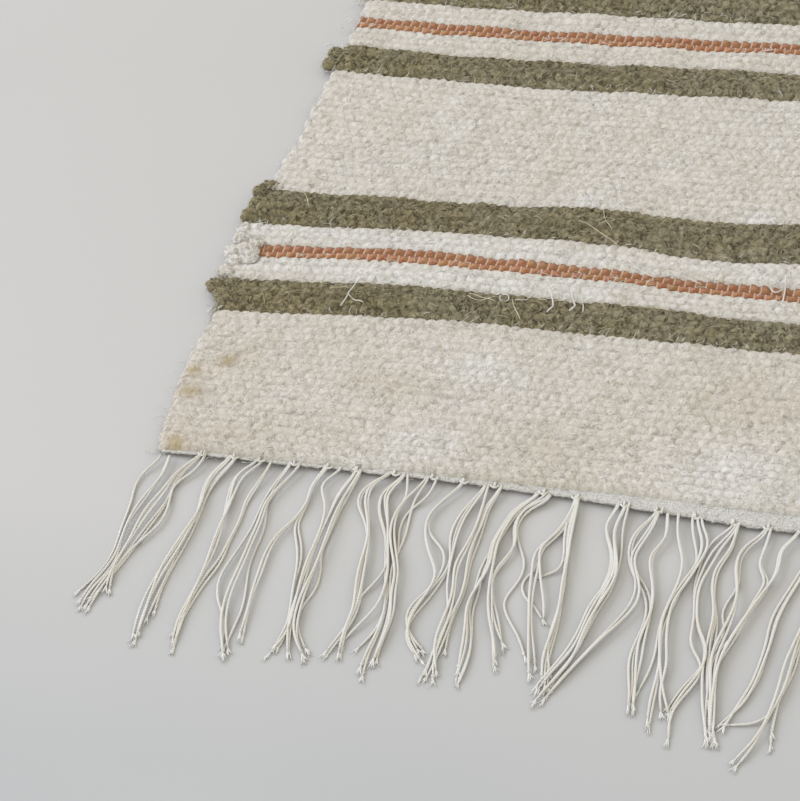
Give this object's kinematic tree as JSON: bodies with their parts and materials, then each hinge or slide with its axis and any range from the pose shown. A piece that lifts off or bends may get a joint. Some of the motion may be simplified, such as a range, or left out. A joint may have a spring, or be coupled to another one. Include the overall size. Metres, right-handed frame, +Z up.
{
  "type": "hand-woven hemp rug with fringed ends",
  "caption": "Flat hand-woven hemp rug lying on the floor, striped in olive and orange on cream, with a fringe of warp ends along both short ends.",
  "frame": {"origin": "on the floor, under the middle of the rug", "axes": "+X across the rug along its stripes, +Y along its warp towards the back end, +Z up"},
  "size_m": [0.624, 1.1112, 0.0097],
  "materials": {
    "cream_hemp": "matt, undyed hemp yarn",
    "olive_hemp": "matt, lofty olive yarn",
    "orange_hemp": "matt, flat burnt orange yarn",
    "warp_yarn": "matt, thin plied white yarn"
  },
  "bodies": {
    "root": {"woven_cloth": "cream_hemp", "fringe_front": "warp_yarn", "fringe_back": "warp_yarn"}
  },
  "joints": []
}
